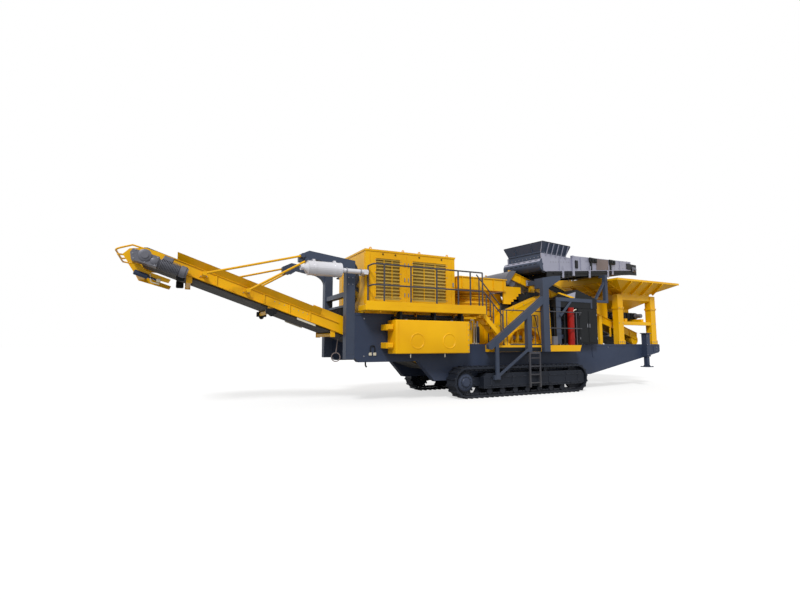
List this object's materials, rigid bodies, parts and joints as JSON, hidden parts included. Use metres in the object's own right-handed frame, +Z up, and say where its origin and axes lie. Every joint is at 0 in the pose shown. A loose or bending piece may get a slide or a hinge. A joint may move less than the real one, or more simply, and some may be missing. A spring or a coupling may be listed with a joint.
{
  "type": "tracked mobile cone crushing plant",
  "caption": "Tracked mobile crushing plant with a feed hopper, inclined feed conveyor, cone crusher, engine housing and a long rising discharge conveyor.",
  "frame": {"origin": "on the ground, under the middle of the machine's bounding box", "axes": "+X along the machine towards the feed hopper, -X towards the discharge conveyor's head, +Z up, the side with the ladder is -Y"},
  "size_m": [17.8396, 3, 4.62],
  "materials": {
    "machine_yellow": "semi-gloss",
    "chassis_blue_grey": "semi-gloss",
    "structure_dark_grey": "semi-gloss",
    "rail_grey": "semi-gloss",
    "track_steel": "worn",
    "belt_rubber": "matt",
    "louvre_olive": "matt",
    "gearbox_grey": "semi-gloss",
    "muffler_silver": "satin",
    "cabinet_black": "semi-gloss",
    "cylinder_red": "gloss",
    "side_plate_grey": "satin"
  },
  "bodies": {
    "machine": {"chassis": "chassis_blue_grey", "running_gear_near": "track_steel", "running_gear_far": "track_steel", "track_chain_near": "track_steel", "track_chain_far": "track_steel", "gantry": "structure_dark_grey", "tie_rod_upper_near": "machine_yellow", "tie_rod_upper_far": "machine_yellow", "tie_rod_lower_near": "machine_yellow", "tie_rod_lower_far": "machine_yellow", "muffler": "muffler_silver", "power_house": "machine_yellow", "louvre_1_near": "louvre_olive", "louvre_2_near": "louvre_olive", "louvre_1_far": "louvre_olive", "louvre_2_far": "louvre_olive", "walkway_near": "machine_yellow", "walkway_far": "machine_yellow", "handrail_near": "rail_grey", "handrail_far": "rail_grey", "side_tank_near": "machine_yellow", "side_tank_far": "machine_yellow", "discharge_belt": "belt_rubber", "discharge_frame": "machine_yellow", "discharge_head_drum": "track_steel", "discharge_drive": "gearbox_grey", "access_stair": "machine_yellow", "stair_rail_outer": "rail_grey", "stair_rail_inner": "rail_grey", "return_underframe": "cabinet_black", "crusher_frame": "machine_yellow", "crusher_bowl": "machine_yellow", "feed_box": "machine_yellow", "service_deck_near": "machine_yellow", "service_deck_far": "machine_yellow", "drive_guard": "machine_yellow", "return_stand": "cabinet_black", "ladder": "rail_grey", "control_cabinet": "cabinet_black", "cabinet_hood": "cabinet_black", "red_vessel": "cylinder_red", "feed_belt": "belt_rubber", "feed_conveyor_frame": "machine_yellow", "feed_head_drum": "gearbox_grey", "feeder": "cabinet_black", "hopper_wall_near": "machine_yellow", "hopper_wall_far": "machine_yellow", "hopper_wall_left": "machine_yellow", "hopper_wall_right": "machine_yellow", "hopper_chute": "machine_yellow", "hopper_stand": "machine_yellow", "return_frame": "side_plate_grey", "return_belt": "belt_rubber", "return_head_drum": "cabinet_black", "return_boot": "cabinet_black", "return_post": "cabinet_black", "jack_sleeve_near": "chassis_blue_grey", "jack_sleeve_far": "chassis_blue_grey"},
    "support_leg_near": {"jack_leg_near": "chassis_blue_grey"},
    "support_leg_far": {"jack_leg_far": "chassis_blue_grey"}
  },
  "joints": [
    {"name": "support_leg_near_slide", "type": "slide", "parent": "machine", "child": "support_leg_near", "axis": [0, 0, -1], "range_m": [0, 0.64]},
    {"name": "support_leg_far_slide", "type": "slide", "parent": "machine", "child": "support_leg_far", "axis": [0, 0, -1], "range_m": [0, 0.64]}
  ]
}
